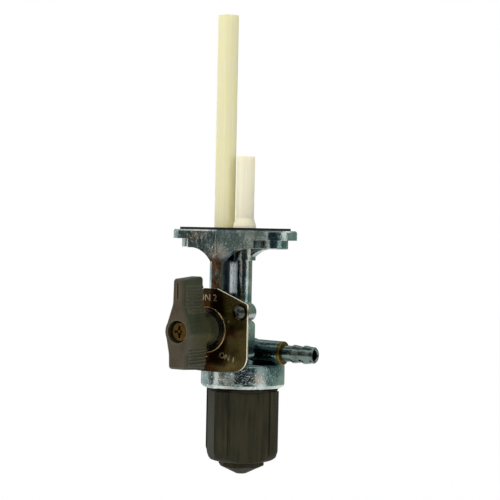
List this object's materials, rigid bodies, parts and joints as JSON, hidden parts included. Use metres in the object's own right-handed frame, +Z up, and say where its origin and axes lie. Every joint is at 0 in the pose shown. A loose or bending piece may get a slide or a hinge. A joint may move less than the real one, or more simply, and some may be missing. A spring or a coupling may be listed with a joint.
{
  "type": "fuel tap",
  "caption": "Tank-mounted fuel tap with main and reserve standpipes, a turning lever on a face plate, a barbed hose outlet and a screw-on sediment bowl.",
  "frame": {"origin": "centre of the two-bolt tank flange on the top face of its gasket", "axes": "+Z up into the tank along the standpipes, +X along the flange towards the hose outlet, the lever faces -Y"},
  "size_m": [0.0622, 0.052, 0.1721],
  "materials": {
    "casting": "bright zinc-plated die casting with a fine orange-peel skin",
    "gasket_rubber": "matt black moulded rubber",
    "nylon_pipe": "translucent cream nylon",
    "stub_brass": "drawn brass tube",
    "seal_rubber": "black fuel-proof rubber",
    "rotor_metal": "turned and plated",
    "spring_steel": "spring steel strip",
    "plate_steel": "polished sheet with a bronze passivated skin",
    "screw_steel": "zinc-plated screw",
    "lever_plastic": "dark warm grey moulded plastic",
    "screw_brass": "yellow-passivated screw",
    "collar_brass": "amber-yellow passivated ring",
    "nipple_metal": "turned steel with bright plating",
    "bowl_plastic": "dark brown-grey moulded plastic",
    "strainer_plastic": "moulded nylon",
    "strainer_gauze": "fine woven nylon gauze"
  },
  "bodies": {
    "tap": {"tap_body": "casting", "tank_gasket": "gasket_rubber", "main_standpipe": "nylon_pipe", "reserve_standpipe": "nylon_pipe", "main_spigot": "stub_brass", "reserve_spigot": "stub_brass", "valve_seal": "seal_rubber", "wave_washer": "spring_steel", "face_plate": "plate_steel", "plate_screw_upper": "screw_steel", "plate_screw_lower": "screw_steel", "outlet_collar": "collar_brass", "outlet_nipple": "nipple_metal", "bowl": "bowl_plastic", "bowl_o_ring": "seal_rubber", "strainer_frame": "strainer_plastic", "strainer_gauze": "strainer_gauze"},
    "selector": {"valve_rotor": "rotor_metal", "rotor_o_ring": "seal_rubber", "lever": "lever_plastic", "lever_screw": "screw_brass"}
  },
  "joints": [
    {"name": "lever_turn", "type": "hinge", "parent": "tap", "child": "selector", "pos_m": [0, -0.0178, -0.0376], "axis": [0, -1, 0], "range_deg": [0, 180]}
  ]
}
